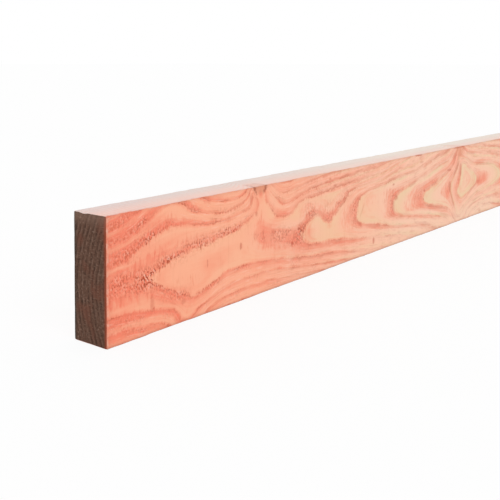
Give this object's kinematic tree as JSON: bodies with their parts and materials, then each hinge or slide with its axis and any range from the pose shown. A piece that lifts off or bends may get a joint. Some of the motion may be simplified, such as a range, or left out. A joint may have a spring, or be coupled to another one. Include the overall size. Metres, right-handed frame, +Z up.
{
  "type": "timber stud",
  "caption": "Rough-sawn treated softwood stud: a plain rectangular length of framing timber with square-cut ends, used upright in walls or on edge in floors and roofs.",
  "frame": {"origin": "under the middle of the stud, on the surface that its narrow edge rests on", "axes": "+X along the length, from the end that the picture shows to the end that it cuts off; +Y through the thickness, from the face shown to the face behind; +Z up the depth"},
  "size_m": [2.4, 0.045, 0.12],
  "materials": {
    "treated_timber": "matte"
  },
  "bodies": {
    "root": {"stud": "treated_timber"}
  },
  "joints": []
}
